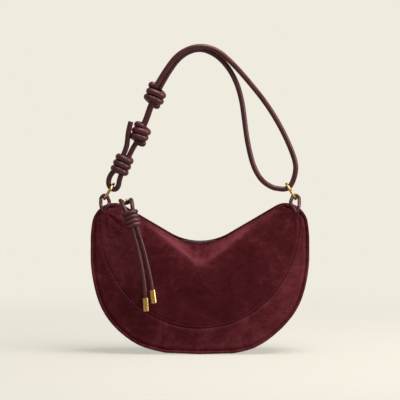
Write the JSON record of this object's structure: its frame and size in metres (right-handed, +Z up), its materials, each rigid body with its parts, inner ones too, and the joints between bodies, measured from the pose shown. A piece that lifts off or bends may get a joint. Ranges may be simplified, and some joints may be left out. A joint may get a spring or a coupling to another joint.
{
  "type": "half moon shoulder bag",
  "caption": "Half moon suede shoulder bag with a knotted rolled-leather strap on brass rings and a tied zip pull with brass caps.",
  "frame": {"origin": "middle of the flat base that the bag stands on", "axes": "+Z up, +X along the bag's width, front towards -Y"},
  "size_m": [0.29, 0.0835, 0.4099],
  "materials": {
    "suede": "napped matt suede",
    "strap_leather": "satin rolled leather",
    "lining": "plain woven",
    "tape": "woven zip tape",
    "board": "matt",
    "brass": "polished"
  },
  "bodies": {
    "bag": {"front_upper_panel": "suede", "front_lower_band": "suede", "back_upper_panel": "suede", "back_lower_band": "suede", "gusset": "suede", "front_piping": "suede", "back_piping": "suede", "front_lining": "lining", "back_lining": "lining", "gusset_lining": "lining", "base_stiffener": "board", "zip_tape_front": "tape", "zip_tape_back": "tape", "zip_teeth_front": "brass", "zip_teeth_back": "brass", "zip_top_stops": "brass", "zip_bottom_stop": "brass", "anchor_loop_left": "strap_leather", "anchor_loop_right": "strap_leather"},
    "slider": {"zip_slider": "brass"},
    "small_ring": {"pull_ring": "brass"},
    "pull": {"pull_loop": "strap_leather", "pull_knot": "strap_leather"},
    "tail_left": {"pull_tail_left": "strap_leather", "tail_cap_left": "brass"},
    "tail_right": {"pull_tail_right": "strap_leather", "tail_cap_right": "brass"},
    "left_ring": {"ring_left": "brass"},
    "right_ring": {"ring_right": "brass"},
    "strap": {"strap_loop": "strap_leather", "strap_knot_upper": "strap_leather", "strap_knot_middle": "strap_leather", "strap_knot_lower": "strap_leather", "strap_link_upper": "strap_leather", "strap_link_lower": "strap_leather", "strap_eye": "strap_leather", "strap_tail": "strap_leather"}
  },
  "joints": [
    {"name": "zip_travel", "type": "hinge", "parent": "bag", "child": "slider", "pos_m": [0, 0, 0.29938], "axis": [0, -1, 0], "range_deg": [0, 87], "deforming": ["zip_teeth_front", "zip_teeth_back", "zip_tape_front", "zip_tape_back"]},
    {"name": "pull_ring_swing", "type": "hinge", "parent": "slider", "child": "small_ring", "pos_m": [-0.10379, 0, 0.19672], "axis": [-0.7032, 0, 0.7109], "range_deg": [0, 50]},
    {"name": "pull_hang", "type": "hinge", "parent": "small_ring", "child": "pull", "pos_m": [-0.09926, -0.00758, 0.20119], "axis": [0, -1, 0], "range_deg": [-87, 0], "deforming": ["pull_loop"]},
    {"name": "tail_left_swing", "type": "hinge", "parent": "pull", "child": "tail_left", "pos_m": [-0.09434, -0.03163, 0.17271], "axis": [0, 1, 0], "range_deg": [0, 20]},
    {"name": "tail_right_swing", "type": "hinge", "parent": "pull", "child": "tail_right", "pos_m": [-0.08171, -0.03209, 0.1725], "axis": [0, -1, 0], "range_deg": [0, 20]},
    {"name": "ring_left_swing", "type": "hinge", "parent": "bag", "child": "left_ring", "pos_m": [-0.127, 0, 0.20768], "axis": [1, 0, 0], "range_deg": [-40, 40]},
    {"name": "ring_right_swing", "type": "hinge", "parent": "bag", "child": "right_ring", "pos_m": [0.127, 0, 0.20768], "axis": [1, 0, 0], "range_deg": [-40, 40]},
    {"name": "strap_swing", "type": "hinge", "parent": "left_ring", "child": "strap", "pos_m": [-0.1114, 0, 0.2185], "axis": [1, 0, 0], "range_deg": [-45, 45]}
  ],
  "couplings": [
    {"joint": "pull_hang", "follows": "zip_travel", "ratio": -1},
    {"joint": "ring_right_swing", "follows": "ring_left_swing", "ratio": 1}
  ]
}
